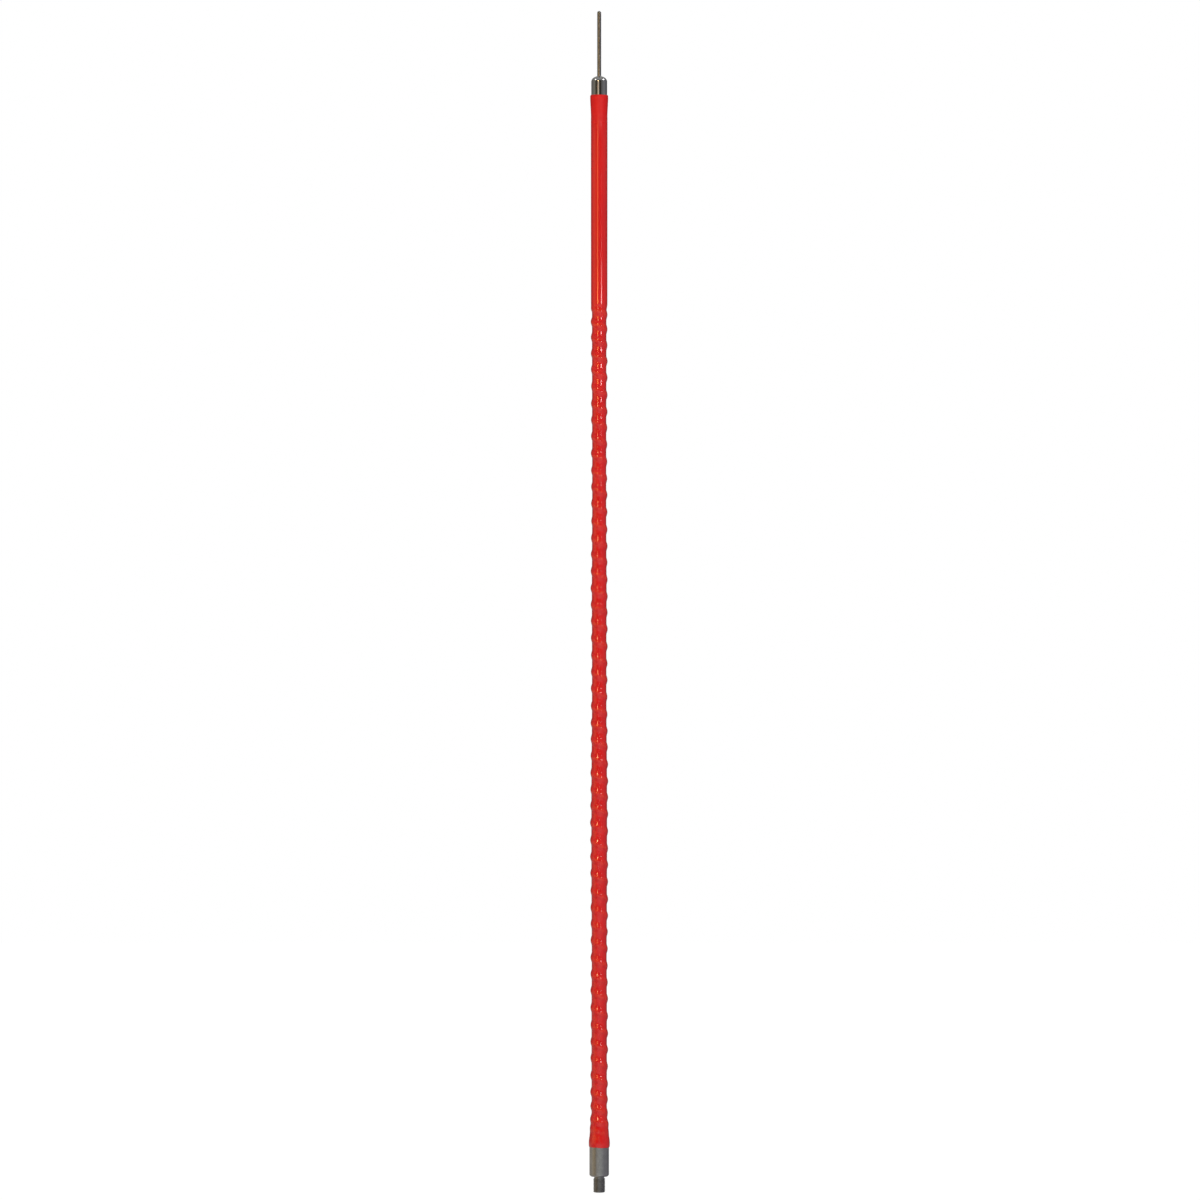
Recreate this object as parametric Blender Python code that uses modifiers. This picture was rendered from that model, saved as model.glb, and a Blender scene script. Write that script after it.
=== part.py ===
"""A loaded fibreglass whip antenna, about three feet long, for a 3/8 in threaded mount.

It stands on its threaded stud. The origin is the centre of the stud's lower end and +Z runs up the
antenna. A fibreglass rod is bonded into a ferrule at each end. One wire is wound around the rod, widely
spaced over most of its length and close wound near the top, and a red vinyl jacket covers rod and wire.
A thin steel whip slides in the top ferrule for tuning, and a set screw at the back (+Y) clamps it.
Lengths are in metres.
"""

import math

import bmesh
import bpy

# Stud and base ferrule, turned from one bar
STUD_RADIUS = 0.0047625
STUD_LENGTH = 0.0127
STUD_PITCH = 0.0254 / 24
STUD_CHAMFER = 0.0012
STUD_NECK_LENGTH = 0.0014
STUD_NECK_FILLET = 0.0005
STUD_NECK_DEPTH = 0.00015
THREAD_END_CHAMFER = 0.0006
BASE_FERRULE_LENGTH = 0.0292
BASE_FERRULE_WALL = 0.0026
BASE_FERRULE_FLOOR = 0.0048
BASE_FERRULE_CHAMFER = 0.0012
BASE_FERRULE_RIM_CHAMFER = 0.0006

# Core rod and its glued joints
ROD_RADIUS = 0.0047625
BOND_FILM = 0.00025

# Winding wire: widely spaced turns below, close-wound coil above
WIRE_RADIUS = 0.00051
WINDING_PITCH = 0.01324
WINDING_LENGTH = 0.6640
WINDING_TOP_ANGLE = math.radians(144)
COIL_LENGTH = 0.1490
ENAMEL = 0.00005
LEAD_OVERLAP = 0.0020

# Solder joints between the wire's ends and the ferrules
SOLDER_HEIGHT = 0.0018
SOLDER_WIDTH = 0.0018

# Jacket
JACKET_WALL = 0.00065
JACKET_OVER_BASE = 0.0061
JACKET_OVER_TOP = 0.0118
JACKET_EDGE = 0.0004
FLARE_LENGTH = 0.0150
SHOULDER_LENGTH = 0.0070

# Top ferrule
TOP_FERRULE_LENGTH = 0.0270
TOP_FERRULE_WALL = 0.0011375
TOP_FERRULE_SOCKET = 0.0095
DOME_HEIGHT = 0.0043

# Tuning whip and its travel from the position that it is drawn in
WHIP_RADIUS = 0.0015875
WHIP_LENGTH = 0.1016
WHIP_EXPOSED = 0.0522
WHIP_FOOT_CHAMFER = 0.0003
WHIP_DOWN_TRAVEL = 0.0400

# Set screw, M4 with a 2 mm hexagon socket
SET_SCREW_RADIUS = 0.0020
SET_SCREW_PITCH = 0.0007
SET_SCREW_CHAMFER = 0.0004
SET_SCREW_RECESS = 0.0005
SET_SCREW_BELOW_TOP = 0.0095
HEX_ACROSS_FLATS = 0.0020
HEX_DEPTH = 0.0018

# Clearances
FIT = 0.0001
SLIDE_FIT = 0.00015
GAP = 0.0003
WELL_CLEARANCE = 0.0005
END_CLEARANCE = 0.0005

# Sides and steps of the round shapes
SIDES = 24
WHIP_SIDES = 16
WINDING_SIDES = 16
LEAD_SIDES = 8
BEAD_SIDES = 12
HEX_SIDES = 6
ARC_STEPS = 6

# Depth of a 60-degree thread as a share of its pitch
THREAD_DEPTH = 0.6134

# Radii that follow from what fits inside what
SOCKET_RADIUS = ROD_RADIUS + FIT + BOND_FILM + FIT
BASE_FERRULE_RADIUS = SOCKET_RADIUS + BASE_FERRULE_WALL
TOP_FERRULE_RADIUS = SOCKET_RADIUS + TOP_FERRULE_WALL
WHIP_BORE_RADIUS = WHIP_RADIUS + SLIDE_FIT
WELL_RADIUS = WHIP_RADIUS + WELL_CLEARANCE
COIL_BORE_RADIUS = ROD_RADIUS + FIT
COIL_RADIUS = COIL_BORE_RADIUS + 2 * WIRE_RADIUS
# The straight chords of the winding dip inwards, so their corners stand out by as much
WINDING_RADIUS = (ROD_RADIUS + WIRE_RADIUS + FIT / 2) / math.cos(math.pi / WINDING_SIDES)
JACKET_BORE_RADIUS = (WINDING_RADIUS + WIRE_RADIUS + FIT / 2) / math.cos(math.pi / SIDES)
BASE_JACKET_BORE_RADIUS = BASE_FERRULE_RADIUS + FIT
TOP_JACKET_BORE_RADIUS = TOP_FERRULE_RADIUS + FIT

# Heights, from the stud's end upwards
SHOULDER_Z = STUD_LENGTH
BASE_RIM_Z = SHOULDER_Z + BASE_FERRULE_LENGTH
BASE_FLOOR_Z = SHOULDER_Z + BASE_FERRULE_FLOOR
ROD_FOOT_Z = BASE_FLOOR_Z + FIT + BOND_FILM + FIT
WINDING_FOOT_Z = BASE_RIM_Z + FIT + SOLDER_HEIGHT + GAP + WIRE_RADIUS
WINDING_TOP_Z = WINDING_FOOT_Z + WINDING_LENGTH
COIL_FOOT_Z = WINDING_TOP_Z + WIRE_RADIUS + GAP
COIL_TOP_Z = COIL_FOOT_Z + COIL_LENGTH
TOP_RIM_Z = COIL_TOP_Z + SHOULDER_LENGTH
TOP_CEILING_Z = TOP_RIM_Z + TOP_FERRULE_SOCKET
ROD_TOP_Z = TOP_CEILING_Z - FIT - BOND_FILM - FIT
DOME_TOP_Z = TOP_RIM_Z + TOP_FERRULE_LENGTH
SET_SCREW_Z = DOME_TOP_Z - SET_SCREW_BELOW_TOP
JACKET_FOOT_Z = BASE_RIM_Z - JACKET_OVER_BASE
JACKET_TOP_Z = TOP_RIM_Z + JACKET_OVER_TOP
WHIP_TOP_Z = DOME_TOP_Z + WHIP_EXPOSED
WHIP_FOOT_Z = WHIP_TOP_Z - WHIP_LENGTH
WELL_FLOOR_Z = WHIP_FOOT_Z - WHIP_DOWN_TRAVEL - END_CLEARANCE


def clear_scene():
    for obj in list(bpy.data.objects):
        bpy.data.objects.remove(obj)


def new_collection(name):
    collection = bpy.data.collections.new(name)
    bpy.context.scene.collection.children.link(collection)
    return collection


def finish(name, color, metallic, roughness):
    """A plain Principled material."""
    material = bpy.data.materials.new(name)
    material.use_nodes = True
    shader = material.node_tree.nodes["Principled BSDF"]
    shader.inputs["Base Color"].default_value = (*color, 1)
    shader.inputs["Metallic"].default_value = metallic
    shader.inputs["Roughness"].default_value = roughness
    return material


def add_object(name, data, collection, material=None):
    obj = bpy.data.objects.new(name, data)
    collection.objects.link(obj)
    if material:
        data.materials.append(material)
    return obj


def as_cutter(obj):
    obj.hide_render = True
    obj.display_type = "WIRE"
    return obj


def smooth(mesh):
    mesh.shade_smooth()
    mesh.set_sharp_from_angle(angle=math.radians(35))


def swept_mesh(name, outline, sides, rise=0.0, closed=False):
    """Sweeps (radius, height) points once around Z with a Screw modifier, rising by `rise` a turn."""
    profile = bpy.data.meshes.new(name)
    edit = bmesh.new()
    corners = [edit.verts.new((radius, 0, height)) for radius, height in outline]
    for start, end in zip(corners, corners[1:]):
        edit.edges.new((start, end))
    if closed:
        edit.edges.new((corners[-1], corners[0]))
    edit.to_mesh(profile)
    edit.free()
    helper = add_object(name, profile, bpy.context.scene.collection)
    screw = helper.modifiers.new("Screw", "SCREW")
    screw.steps = sides
    screw.render_steps = sides
    screw.screw_offset = rise
    screw.use_merge_vertices = True
    screw.merge_threshold = 0.000001
    graph = bpy.context.evaluated_depsgraph_get()
    mesh = bpy.data.meshes.new_from_object(helper.evaluated_get(graph))
    bpy.data.objects.remove(helper)
    bpy.data.meshes.remove(profile)
    mesh.name = name
    return mesh


def turned(name, outline, collection, material=None, closed=False, sides=SIDES):
    """A turned piece. Its outline runs down the outer side, from the axis to the axis unless closed."""
    mesh = swept_mesh(name, outline, sides, closed=closed)
    smooth(mesh)
    return add_object(name, mesh, collection, material)


def threaded(name, major_radius, pitch, low, high, collection, material=None):
    """A right-hand screw thread about Z that runs at least a turn past both `low` and `high`."""
    turns = math.ceil((high - low) / pitch) + 3
    top = high + 2 * pitch
    root_radius = major_radius - THREAD_DEPTH * pitch
    outline = [(0, top)]
    for turn in range(turns):
        crest = top - turn * pitch
        outline.append((major_radius, crest))
        outline.append((root_radius, crest - pitch / 2))
    bottom = top - turns * pitch
    outline.append((major_radius, bottom))
    outline.append((0, bottom))
    mesh = swept_mesh(name, outline, SIDES, rise=pitch)
    edit = bmesh.new()
    edit.from_mesh(mesh)
    bmesh.ops.remove_doubles(edit, verts=edit.verts, dist=0.000001)
    open_edges = [edge for edge in edit.edges if edge.is_boundary]
    bmesh.ops.holes_fill(edit, edges=open_edges, sides=0)
    bmesh.ops.recalc_face_normals(edit, faces=edit.faces)
    edit.to_mesh(mesh)
    edit.free()
    return add_object(name, mesh, collection, material)


def boolean(obj, tool, operation):
    modifier = obj.modifiers.new(f"{operation.title()} {tool.name}", "BOOLEAN")
    modifier.object = tool
    modifier.operation = operation


def wire_curve(name, points, radius, collection, material):
    curve = bpy.data.curves.new(name, "CURVE")
    curve.dimensions = "3D"
    curve.bevel_depth = radius
    curve.bevel_resolution = 0
    curve.use_fill_caps = True
    spline = curve.splines.new("POLY")
    spline.points.add(len(points) - 1)
    for target, point in zip(spline.points, points):
        target.co = (*point, 1)
    return add_object(name, curve, collection, material)


def eased(share):
    """0 to 1 with a level start and a level end."""
    return (1 - math.cos(math.pi * share)) / 2


def make_base_ferrule(parts, cutters):
    """A socket for the rod, a shoulder with a chamfer, and the threaded stud below it."""
    metal = finish("satin_nickel_plate", (0.42, 0.41, 0.40), 1.0, 0.34)
    neck_radius = STUD_RADIUS - THREAD_DEPTH * STUD_PITCH - STUD_NECK_DEPTH
    thread_top = SHOULDER_Z - STUD_NECK_LENGTH
    neck_foot = thread_top - STUD_CHAMFER
    outline = [
        (0, BASE_FLOOR_Z),
        (SOCKET_RADIUS, BASE_FLOOR_Z),
        (SOCKET_RADIUS, BASE_RIM_Z),
        (BASE_FERRULE_RADIUS - BASE_FERRULE_RIM_CHAMFER, BASE_RIM_Z),
        (BASE_FERRULE_RADIUS, BASE_RIM_Z - BASE_FERRULE_RIM_CHAMFER),
        (BASE_FERRULE_RADIUS, SHOULDER_Z + BASE_FERRULE_CHAMFER),
        (BASE_FERRULE_RADIUS - BASE_FERRULE_CHAMFER, SHOULDER_Z),
        (STUD_RADIUS + FIT, SHOULDER_Z),
        (neck_radius, SHOULDER_Z - STUD_NECK_FILLET),
        (neck_radius, neck_foot),
        (0, neck_foot),
    ]
    ferrule = turned("base_ferrule", outline, parts, metal)
    thread = threaded("stud_thread", STUD_RADIUS, STUD_PITCH, 0, thread_top, cutters, metal)
    outside = STUD_RADIUS + GAP
    envelope = turned(
        "stud_envelope",
        [
            (0, thread_top),
            (STUD_RADIUS - THREAD_END_CHAMFER, thread_top),
            (outside, thread_top - THREAD_END_CHAMFER - GAP),
            (outside, STUD_CHAMFER + GAP),
            (STUD_RADIUS - STUD_CHAMFER, 0),
            (0, 0),
        ],
        cutters,
    )
    boolean(as_cutter(thread), as_cutter(envelope), "INTERSECT")
    boolean(ferrule, thread, "UNION")


def make_rod(parts):
    """The fibreglass core, with the well that the whip slides down into."""
    material = finish("fibreglass", (0.62, 0.60, 0.38), 0.0, 0.45)
    outline = [
        (0, WELL_FLOOR_Z),
        (WELL_RADIUS, WELL_FLOOR_Z),
        (WELL_RADIUS, ROD_TOP_Z),
        (ROD_RADIUS, ROD_TOP_Z),
        (ROD_RADIUS, ROD_FOOT_Z),
        (0, ROD_FOOT_Z),
    ]
    turned("fibreglass_rod", outline, parts, material)


def make_bonds(parts):
    """The cured adhesive between the rod's ends and the sockets."""
    epoxy = finish("epoxy", (0.55, 0.42, 0.16), 0.0, 0.3)
    inner = ROD_RADIUS + FIT
    outer = inner + BOND_FILM
    base = [
        (0, ROD_FOOT_Z - FIT),
        (inner, ROD_FOOT_Z - FIT),
        (inner, BASE_RIM_Z - GAP),
        (outer, BASE_RIM_Z - GAP),
        (outer, BASE_FLOOR_Z + FIT),
        (0, BASE_FLOOR_Z + FIT),
    ]
    turned("base_epoxy_bond", base, parts, epoxy)
    top = [
        (outer, TOP_CEILING_Z - FIT),
        (outer, TOP_RIM_Z + GAP),
        (inner, TOP_RIM_Z + GAP),
        (inner, ROD_TOP_Z + FIT),
        (WELL_RADIUS, ROD_TOP_Z + FIT),
        (WELL_RADIUS, TOP_CEILING_Z - FIT),
    ]
    turned("top_epoxy_bond", top, parts, epoxy, closed=True)


def winding_angle(height):
    """The left-hand winding's angle about Z at a height, in radians."""
    return WINDING_TOP_ANGLE + (WINDING_TOP_Z - height) / WINDING_PITCH * 2 * math.pi


def make_open_winding(parts, copper):
    """The widely spaced left-hand turns, from the base ferrule's rim up to the coil."""
    count = round(WINDING_LENGTH / WINDING_PITCH * WINDING_SIDES)
    points = []
    for step in range(count + 1):
        height = WINDING_FOOT_Z + WINDING_LENGTH * step / count
        angle = winding_angle(height)
        points.append((WINDING_RADIUS * math.cos(angle), WINDING_RADIUS * math.sin(angle), height))
    wire_curve("open_winding", points, WIRE_RADIUS, parts, copper)


def make_loading_coil(parts, cutters, copper):
    """The close-wound coil as one sleeve, with the bared lead that runs up to the top ferrule."""
    outline = [
        (COIL_RADIUS, COIL_TOP_Z),
        (COIL_RADIUS, COIL_FOOT_Z),
        (COIL_BORE_RADIUS, COIL_FOOT_Z),
        (COIL_BORE_RADIUS, COIL_TOP_Z),
    ]
    coil = turned("loading_coil", outline, parts, copper, closed=True)
    lead_foot = COIL_TOP_Z - LEAD_OVERLAP
    lead_top = TOP_RIM_Z - FIT - SOLDER_HEIGHT - GAP
    bpy.ops.mesh.primitive_cylinder_add(
        vertices=LEAD_SIDES,
        radius=WIRE_RADIUS - ENAMEL,
        depth=lead_top - lead_foot,
        location=(0, -COIL_BORE_RADIUS - WIRE_RADIUS, (lead_top + lead_foot) / 2),
    )
    lead = take_active("coil_lead", cutters)
    boolean(coil, as_cutter(lead), "UNION")


def take_active(name, collection):
    """Names the primitive just added and moves it into a collection."""
    obj = bpy.context.object
    obj.name = name
    obj.data.name = name
    for owner in list(obj.users_collection):
        owner.objects.unlink(obj)
    collection.objects.link(obj)
    return obj


def make_solder_joint(name, angle, middle_z, parts, material):
    """A rounded bead of solder that lies between the rod and the jacket."""
    thickness = JACKET_BORE_RADIUS * math.cos(math.pi / SIDES) - ROD_RADIUS - FIT
    distance = ROD_RADIUS + FIT / 2 + thickness / 2
    bpy.ops.mesh.primitive_uv_sphere_add(segments=BEAD_SIDES, ring_count=BEAD_SIDES // 2, radius=0.5)
    bead = take_active(name, parts)
    bead.location = (distance * math.cos(angle), distance * math.sin(angle), middle_z)
    bead.rotation_euler = (0, 0, angle)
    bead.scale = (thickness, SOLDER_WIDTH, SOLDER_HEIGHT)
    bead.data.materials.append(material)
    bead.data.shade_smooth()


def make_solder_joints(parts):
    """One bead on each ferrule's rim, at the wire's two ends."""
    solder = finish("solder", (0.52, 0.52, 0.50), 1.0, 0.4)
    base_z = BASE_RIM_Z + FIT + SOLDER_HEIGHT / 2
    top_z = TOP_RIM_Z - FIT - SOLDER_HEIGHT / 2
    make_solder_joint("base_solder_joint", winding_angle(WINDING_FOOT_Z), base_z, parts, solder)
    make_solder_joint("top_solder_joint", -math.pi / 2, top_z, parts, solder)


def dome_outline():
    """The top ferrule's rounded nose, from the whip's bore out and down to its side."""
    start = math.acos(WHIP_BORE_RADIUS / TOP_FERRULE_RADIUS)
    points = []
    for step in range(ARC_STEPS + 1):
        angle = start * (1 - step / ARC_STEPS)
        radius = TOP_FERRULE_RADIUS * math.cos(angle)
        drop = DOME_HEIGHT * (1 - math.sin(angle) / math.sin(start))
        points.append((radius, DOME_TOP_Z - drop))
    return points


def make_top_ferrule(parts, cutters):
    """A domed ferrule with a socket for the rod, a bore for the whip and a cross hole at the back."""
    metal = finish("bright_chrome", (0.55, 0.55, 0.54), 1.0, 0.12)
    outline = dome_outline()
    outline += [
        (TOP_FERRULE_RADIUS, TOP_RIM_Z),
        (SOCKET_RADIUS, TOP_RIM_Z),
        (SOCKET_RADIUS, TOP_CEILING_Z),
        (WHIP_BORE_RADIUS, TOP_CEILING_Z),
    ]
    ferrule = turned("top_ferrule", outline, parts, metal, closed=True)
    hole_start = WHIP_BORE_RADIUS / 2
    hole_end = TOP_FERRULE_RADIUS + GAP
    bpy.ops.mesh.primitive_cylinder_add(
        vertices=SIDES,
        radius=SET_SCREW_RADIUS + FIT,
        depth=hole_end - hole_start,
        location=(0, (hole_start + hole_end) / 2, SET_SCREW_Z),
        rotation=(math.pi / 2, 0, 0),
    )
    hole = take_active("set_screw_hole", cutters)
    boolean(ferrule, as_cutter(hole), "DIFFERENCE")


def make_whip(parts):
    """The steel whip, with a round tip and a chamfered foot. Its origin is where it leaves the dome."""
    steel = finish("stainless_steel", (0.34, 0.33, 0.30), 1.0, 0.28)
    tip_z = WHIP_TOP_Z - WHIP_RADIUS
    outline = []
    for step in range(ARC_STEPS + 1):
        angle = math.pi / 2 * (1 - step / ARC_STEPS)
        outline.append((WHIP_RADIUS * math.cos(angle), tip_z + WHIP_RADIUS * math.sin(angle)))
    outline[0] = (0, WHIP_TOP_Z)  # exactly on the axis
    outline += [
        (WHIP_RADIUS, WHIP_FOOT_Z + WHIP_FOOT_CHAMFER),
        (WHIP_RADIUS - WHIP_FOOT_CHAMFER, WHIP_FOOT_Z),
        (0, WHIP_FOOT_Z),
    ]
    outline = [(radius, height - DOME_TOP_Z) for radius, height in outline]
    whip = turned("tuning_whip", outline, parts, steel, sides=WHIP_SIDES)
    whip.location = (0, 0, DOME_TOP_Z)


def make_set_screw(parts, cutters):
    """A grub screw that points at the whip from the back. Its parent empty lies on its axis."""
    steel = finish("black_steel", (0.05, 0.05, 0.05), 1.0, 0.4)
    nose = WHIP_RADIUS + GAP
    length = TOP_FERRULE_RADIUS - SET_SCREW_RECESS - nose
    screw = threaded("set_screw", SET_SCREW_RADIUS, SET_SCREW_PITCH, 0, length, parts, steel)
    outside = SET_SCREW_RADIUS + GAP
    end_radius = SET_SCREW_RADIUS - SET_SCREW_CHAMFER
    envelope = turned(
        "set_screw_envelope",
        [
            (0, length),
            (end_radius, length),
            (outside, length - SET_SCREW_CHAMFER - GAP),
            (outside, SET_SCREW_CHAMFER + GAP),
            (end_radius, 0),
            (0, 0),
        ],
        cutters,
    )
    socket_depth = HEX_DEPTH + GAP
    bpy.ops.mesh.primitive_cylinder_add(
        vertices=HEX_SIDES,
        radius=HEX_ACROSS_FLATS / 2 / math.cos(math.pi / HEX_SIDES),
        depth=socket_depth,
        location=(0, 0, length - HEX_DEPTH + socket_depth / 2),
    )
    socket = take_active("hex_socket", cutters)
    boolean(screw, as_cutter(envelope), "INTERSECT")
    boolean(screw, as_cutter(socket), "DIFFERENCE")
    axis = add_object("set_screw_axis", None, parts)
    axis.location = (0, nose, SET_SCREW_Z)
    axis.rotation_euler = (-math.pi / 2, 0, 0)
    for piece in (screw, envelope, socket):
        piece.parent = axis


def jacket_bore():
    """The jacket's inner side from top to bottom: over the ferrule, the wire and the base ferrule."""
    points = [(TOP_JACKET_BORE_RADIUS, JACKET_TOP_Z)]
    for step in range(ARC_STEPS + 1):
        share = step / ARC_STEPS
        radius = TOP_JACKET_BORE_RADIUS + (JACKET_BORE_RADIUS - TOP_JACKET_BORE_RADIUS) * eased(share)
        points.append((radius, TOP_RIM_Z - GAP - (SHOULDER_LENGTH - GAP) * share))
    for step in range(ARC_STEPS + 1):
        share = step / ARC_STEPS
        radius = JACKET_BORE_RADIUS + (BASE_JACKET_BORE_RADIUS - JACKET_BORE_RADIUS) * eased(share)
        points.append((radius, BASE_RIM_Z + GAP + FLARE_LENGTH * (1 - share)))
    points.append((BASE_JACKET_BORE_RADIUS, JACKET_FOOT_Z))
    return points


def make_jacket(parts):
    """The red vinyl jacket, flared over the base ferrule and stepped over the top ferrule."""
    vinyl = finish("red_vinyl", (0.60, 0.035, 0.025), 0.0, 0.25)
    bore = jacket_bore()
    outer = [(radius + JACKET_WALL, height) for radius, height in bore]
    top_radius, top_z = outer[0]
    foot_radius, foot_z = outer[-1]
    outer[0] = (top_radius, top_z - JACKET_EDGE)
    outer.insert(0, (top_radius - JACKET_EDGE, top_z))
    outer[-1] = (foot_radius, foot_z + JACKET_EDGE)
    outer.append((foot_radius - JACKET_EDGE, foot_z))
    turned("vinyl_jacket", outer + bore[::-1], parts, vinyl, closed=True)


def main():
    clear_scene()
    parts = new_collection("whip_antenna")
    cutters = new_collection("cutters")
    copper = finish("enamelled_copper", (0.45, 0.17, 0.06), 1.0, 0.3)
    make_base_ferrule(parts, cutters)
    make_rod(parts)
    make_bonds(parts)
    make_open_winding(parts, copper)
    make_loading_coil(parts, cutters, copper)
    make_solder_joints(parts)
    make_top_ferrule(parts, cutters)
    make_whip(parts)
    make_set_screw(parts, cutters)
    make_jacket(parts)


main()
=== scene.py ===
"""The looks of a loaded fibreglass whip antenna: jacket, winding, ferrules, whip and set screw.

The jacket is a shrunk vinyl tube, so the wire under it shows as a left-hand ridge. Every piece sits where
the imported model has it. Lengths are in metres and +Z runs up the antenna.
"""

import math

import bmesh
import bpy
import numpy as np
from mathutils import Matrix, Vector


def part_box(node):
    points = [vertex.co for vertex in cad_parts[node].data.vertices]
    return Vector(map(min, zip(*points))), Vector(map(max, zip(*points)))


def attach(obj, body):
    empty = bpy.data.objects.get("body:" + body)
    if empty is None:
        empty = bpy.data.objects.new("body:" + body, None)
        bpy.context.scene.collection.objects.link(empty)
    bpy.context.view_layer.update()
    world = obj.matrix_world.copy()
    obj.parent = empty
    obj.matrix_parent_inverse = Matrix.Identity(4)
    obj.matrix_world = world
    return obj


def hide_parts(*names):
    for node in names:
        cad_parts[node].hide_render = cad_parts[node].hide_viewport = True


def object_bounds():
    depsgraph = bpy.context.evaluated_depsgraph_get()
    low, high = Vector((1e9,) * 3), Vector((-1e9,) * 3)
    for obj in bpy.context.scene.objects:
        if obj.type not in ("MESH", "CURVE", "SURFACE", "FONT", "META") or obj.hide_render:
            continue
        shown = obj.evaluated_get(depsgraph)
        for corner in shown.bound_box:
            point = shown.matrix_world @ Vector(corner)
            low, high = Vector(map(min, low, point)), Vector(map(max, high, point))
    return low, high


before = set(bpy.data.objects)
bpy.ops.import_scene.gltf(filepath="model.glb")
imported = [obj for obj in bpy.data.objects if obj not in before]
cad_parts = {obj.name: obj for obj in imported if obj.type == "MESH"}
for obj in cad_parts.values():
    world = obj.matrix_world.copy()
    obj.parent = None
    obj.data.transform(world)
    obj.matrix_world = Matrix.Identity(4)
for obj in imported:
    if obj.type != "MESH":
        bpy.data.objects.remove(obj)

cad_low, cad_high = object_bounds()
MM = 0.001

# Camera and studio
CAMERA_DISTANCE = 4.14
CAMERA_HEIGHT = 0.4736
CAMERA_ASIDE = 0.64 * MM
CAMERA_LENS = 155.3
FLOOR_SIZE = 6.0
FLOOR_DROP = 0.5 * MM

# The room that the metal reflects: an azimuth in degrees, 0 towards the camera, and its light
ROOM = (
    (-180, (0.20, 0.20, 0.19)),
    (-140, (0.15, 0.15, 0.14)),
    (-100, (0.22, 0.21, 0.19)),
    (-66, (0.25, 0.24, 0.20)),
    (-54, (0.08, 0.075, 0.055)),
    (-20, (0.055, 0.051, 0.036)),
    (24, (0.04, 0.037, 0.029)),
    (38, (0.17, 0.168, 0.17)),
    (75, (0.24, 0.235, 0.25)),
    (110, (0.17, 0.17, 0.19)),
    (145, (0.07, 0.07, 0.08)),
    (180, (0.20, 0.20, 0.19)),
)
FLOOR_GLOW = (
    (-180, (0.20, 0.20, 0.20)),
    (-125, (0.50, 0.455, 0.40)),
    (-92, (0.44, 0.415, 0.36)),
    (-66, (0.26, 0.245, 0.22)),
    (-46, (0.25, 0.24, 0.215)),
    (-26, (0.58, 0.575, 0.56)),
    (0, (0.62, 0.635, 0.635)),
    (20, (0.60, 0.63, 0.645)),
    (40, (0.42, 0.43, 0.46)),
    (64, (0.27, 0.275, 0.31)),
    (95, (0.26, 0.26, 0.29)),
    (115, (0.19, 0.19, 0.22)),
    (180, (0.20, 0.20, 0.20)),
)
CEILING = (0.38, 0.38, 0.38)

# Stud and base ferrule
STUD_RADIUS = 4.7625 * MM
STUD_LENGTH = 12.7 * MM
STUD_PITCH = 25.4 / 24 * MM
STUD_NECK_LENGTH = 1.4 * MM
STUD_NECK_RADIUS = 3.96 * MM
STUD_CHAMFER = 1.2 * MM
STUD_END_ROUND = 1.02 * MM
STUD_TOP_CHAMFER = 0.6 * MM
BASE_FLOOR = 4.8 * MM
BASE_CHAMFER = 1.2 * MM
BASE_EDGE = 0.35 * MM

# Rod, winding wire and the sockets that hold the rod
ROD_RADIUS = 4.7625 * MM
SOCKET_RADIUS = 5.2125 * MM
WIRE_RADIUS = 0.51 * MM
WIRE_TURN_RADIUS = ROD_RADIUS + WIRE_RADIUS + 0.02 * MM
WIRE_SIDES = 8
STEPS_PER_TURN = 28
COIL_PITCH = 1.022 * MM
RIDGE_PITCH = 13.433 * MM
FIRST_TURN_HEIGHT = 711.732 * MM

# Where the open winding starts and ends, in turns counted downwards, and the length of each lead
COIL_TURN = -0.1
FOOT_TURN = 51.05
LEAD_TURNS = 0.75

# Jacket
JACKET_SIDES = 48
JACKET_WALL = 0.8 * MM
VALLEY_RADIUS = 5.71 * MM
RIDGE_HEIGHT = 0.89 * MM
RIDGE_HALF_WIDTH = 4.3 * MM
COIL_SWELL = 0.05 * MM
FLARE_LEAN = 0.16 * MM
FLARE_RIDGE = 0.8
MOUTH_SLANT = 0.22 * MM
LEAD_BUMP = 0.20 * MM
MOUTH_WAVE = 0.10 * MM
MOUTH_OVERLAP = 0.6 * MM
LIP_ROUND = 0.5 * MM
LIP_LENGTH = 1.6 * MM
CLEAR = 0.05 * MM
# Share of the ridges' scuffed colour and painted warm sheen given to the smooth stretch over the close
# coil
COIL_WEAR_AND_SHEEN = 0.3

# The jacket's ends and its smooth stretch over the close coil
JACKET_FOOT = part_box("vinyl_jacket")[0].z
JACKET_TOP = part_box("vinyl_jacket")[1].z
SMOOTH_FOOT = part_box("loading_coil")[0].z
SMOOTH_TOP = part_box("top_ferrule")[0].z - 7.0 * MM

# Outlines in millimetres. The looseness adds to the radius at a height over the antenna's foot. The
# others give the radius at a height over the jacket's foot and over the smooth stretch's top
LOOSENESS = (
    (40, 0.40),
    (110, 0.45),
    (150, 0.45),
    (190, 0.28),
    (240, 0.48),
    (290, 0.60),
    (340, 0.46),
    (375, 0.15),
    (440, 0.08),
    (480, 0.22),
    (520, 0.0),
    (700, 0.05),
    (740, 0.0),
)
BASE_FLARE = (
    (0, 8.26),
    (1.2, 8.46),
    (3.0, 8.54),
    (5.5, 8.44),
    (9.5, 7.90),
    (16.2, 7.30),
    (22.0, 6.85),
    (28.0, 6.30),
    (34.0, 6.00),
)
UPPER_MOUTH = (
    (-1.0, 6.67),
    (1.8, 6.60),
    (5.5, 6.70),
    (11.0, 6.98),
    (16.2, 7.20),
    (18.8, 7.16),
)

# The mouth's dull stretch: how far below the top it starts and is full, and what it adds to roughness
DULL_START = 30 * MM
DULL_FULL = 14 * MM
DULLNESS = 0.34

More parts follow.
